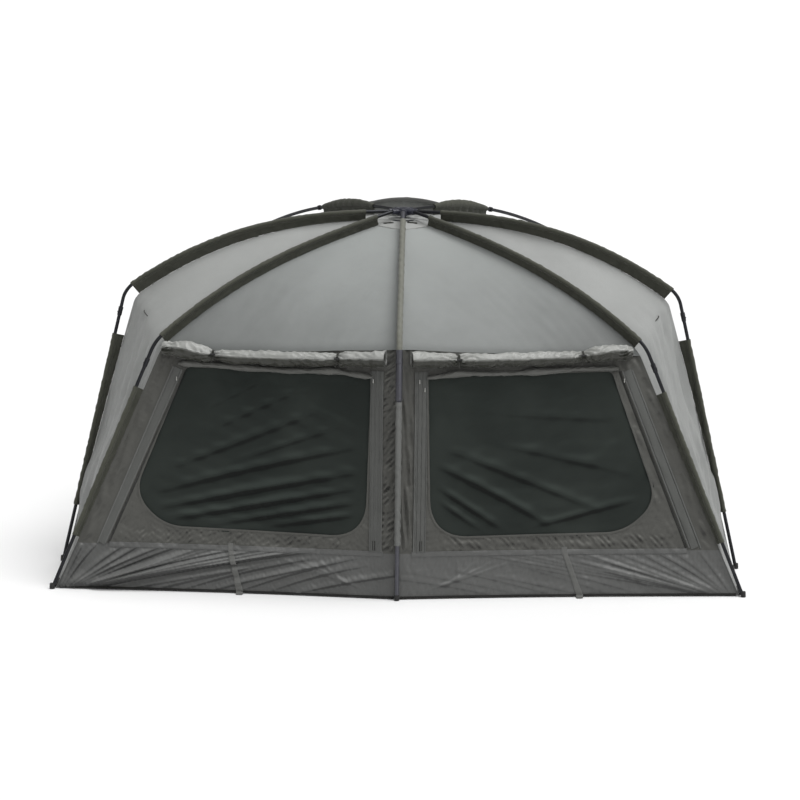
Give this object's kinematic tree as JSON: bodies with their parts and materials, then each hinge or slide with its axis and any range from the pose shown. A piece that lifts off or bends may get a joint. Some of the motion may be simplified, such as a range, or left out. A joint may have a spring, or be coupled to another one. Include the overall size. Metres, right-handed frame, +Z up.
{
  "type": "bivvy tent",
  "caption": "Dome bivvy tent with an outside frame of curved ribs from a hub, fabric skin hung in sleeves, and two mesh-windowed front doors with rolled covers.",
  "frame": {"origin": "on the ground, at the middle of the footprint", "axes": "+X across the tent, to the right seen from the front; +Y to the back, the doors face -Y; +Z up"},
  "size_m": [2.9684, 2.3434, 1.5234],
  "materials": {
    "roof_cloth": "coated woven cloth, grey-green, soft sheen",
    "door_cloth": "coated woven cloth, dark olive grey, matt",
    "sleeve_cloth": "coated woven cloth, dark olive, matt",
    "window_mesh": "fine insect mesh, near black green",
    "webbing": "flat woven webbing, olive grey",
    "pole": "dark anodised tube, satin",
    "hub_plastic": "moulded, dark blue-black"
  },
  "bodies": {
    "root": {"door_left": "door_cloth", "door_right": "door_cloth", "hub_boss": "hub_plastic", "leg_front_centre": "pole", "leg_front_left": "pole", "leg_front_right": "pole", "leg_rear_left": "pole", "leg_rear_right": "pole", "leg_side_left": "pole", "leg_side_right": "pole", "lower_sleeve_front_centre": "sleeve_cloth", "lower_sleeve_front_left": "sleeve_cloth", "lower_sleeve_front_right": "sleeve_cloth", "lower_sleeve_rear_left": "sleeve_cloth", "lower_sleeve_rear_right": "sleeve_cloth", "lower_sleeve_side_left": "sleeve_cloth", "lower_sleeve_side_right": "sleeve_cloth", "rear_panel": "roof_cloth", "rear_side_panel_left": "roof_cloth", "rear_side_panel_right": "roof_cloth", "rib_front_centre": "pole", "rib_front_left": "pole", "rib_front_right": "pole", "rib_rear_left": "pole", "rib_rear_right": "pole", "rib_side_left": "pole", "rib_side_right": "pole", "roof_front_left": "roof_cloth", "roof_front_right": "roof_cloth", "side_panel_left": "roof_cloth", "side_panel_right": "roof_cloth", "strap_left": "webbing", "strap_right": "webbing", "upper_sleeve_front_centre": "sleeve_cloth", "upper_sleeve_front_left": "sleeve_cloth", "upper_sleeve_front_right": "sleeve_cloth", "upper_sleeve_rear_left": "sleeve_cloth", "upper_sleeve_rear_right": "sleeve_cloth", "upper_sleeve_side_left": "sleeve_cloth", "upper_sleeve_side_right": "sleeve_cloth", "vent_hood": "sleeve_cloth", "vent_panel": "roof_cloth", "window_mesh_left": "window_mesh", "window_mesh_right": "window_mesh", "window_roll_left": "door_cloth", "window_roll_right": "door_cloth"}
  },
  "joints": []
}
